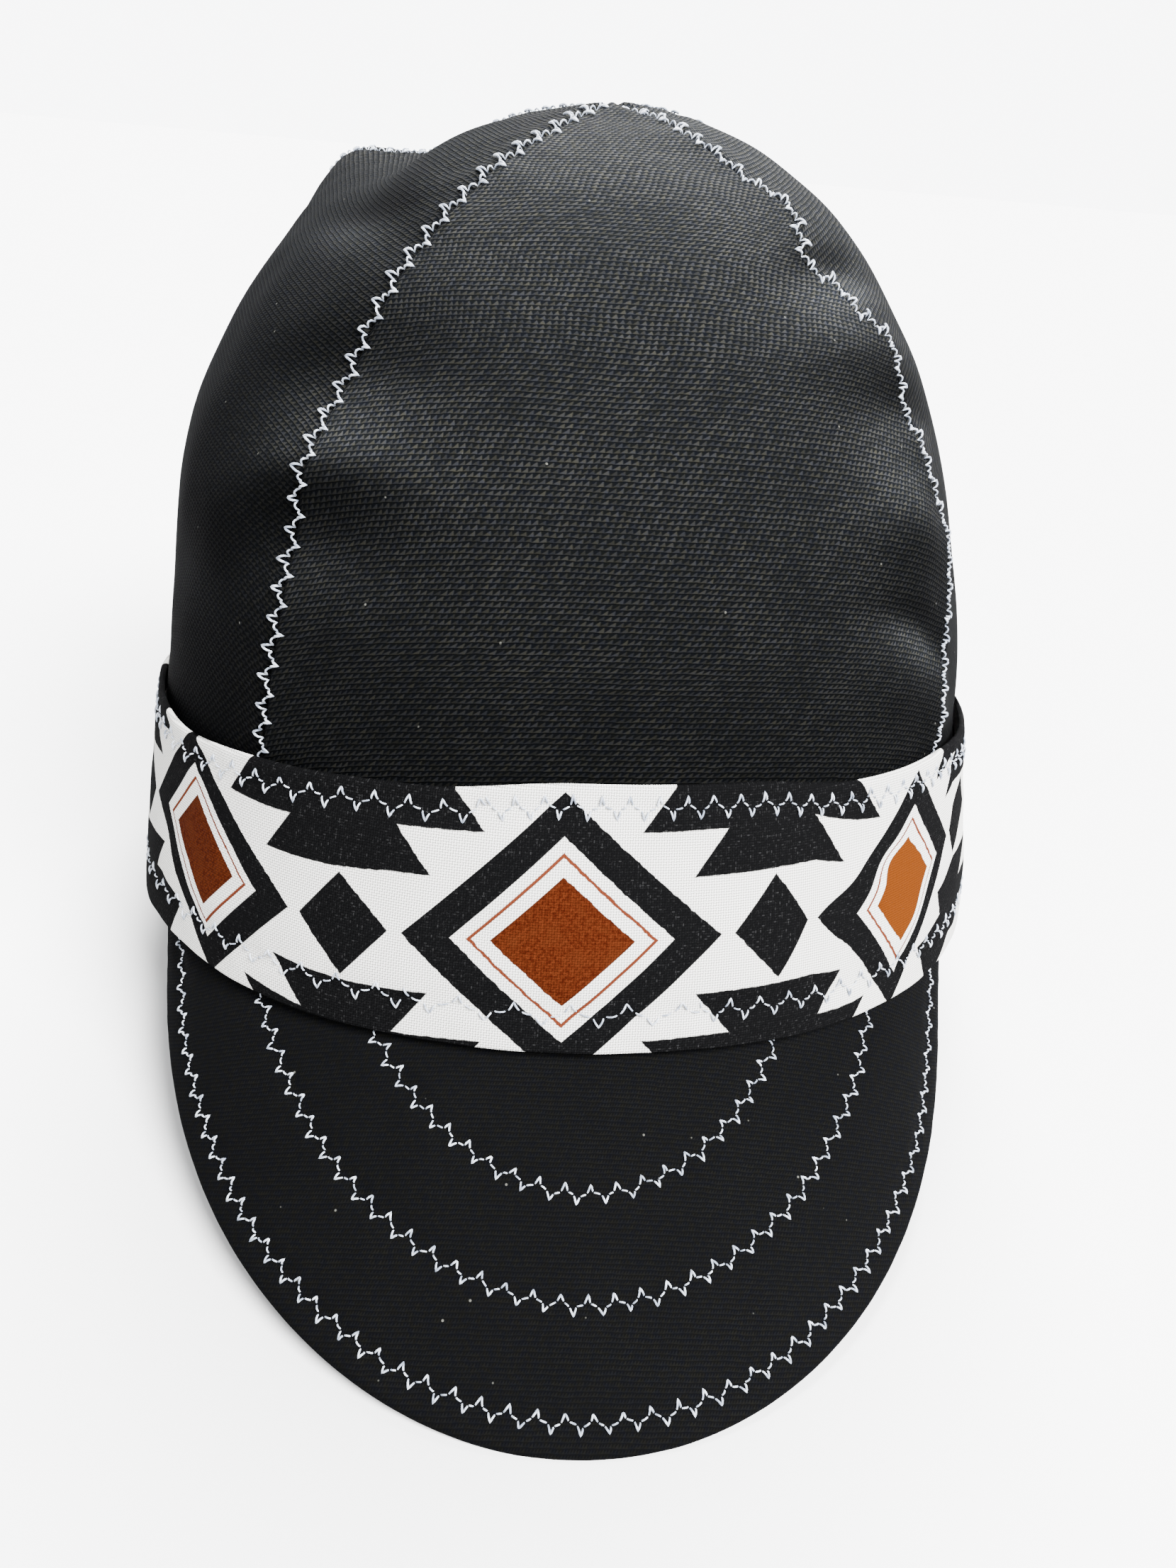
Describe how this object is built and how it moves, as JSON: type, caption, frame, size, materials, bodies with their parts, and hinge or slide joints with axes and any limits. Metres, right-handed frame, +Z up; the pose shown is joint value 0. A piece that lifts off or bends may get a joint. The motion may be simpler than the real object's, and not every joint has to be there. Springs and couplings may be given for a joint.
{
  "type": "welding cap",
  "caption": "Soft black cotton welding cap with a rounded four-panel crown, a short drooping brim and a band with a stepped diamond print.",
  "frame": {"origin": "middle of the cap's footprint, on the surface that it rests on", "axes": "+Z up, -Y towards the brim, +X to the right of someone facing the front"},
  "size_m": [0.1766, 0.2574, 0.1601],
  "materials": {
    "black_duck": "matte plain-weave cotton duck",
    "printed_cotton": "matte printed cotton, off-white with black and rust stepped diamonds",
    "zigzag_thread": "pale blue-white sewing thread"
  },
  "bodies": {
    "root": {"crown_front_panel": "black_duck", "crown_left_panel": "black_duck", "crown_right_panel": "black_duck", "crown_back_panel": "black_duck", "brim": "black_duck", "band": "printed_cotton"}
  },
  "joints": []
}
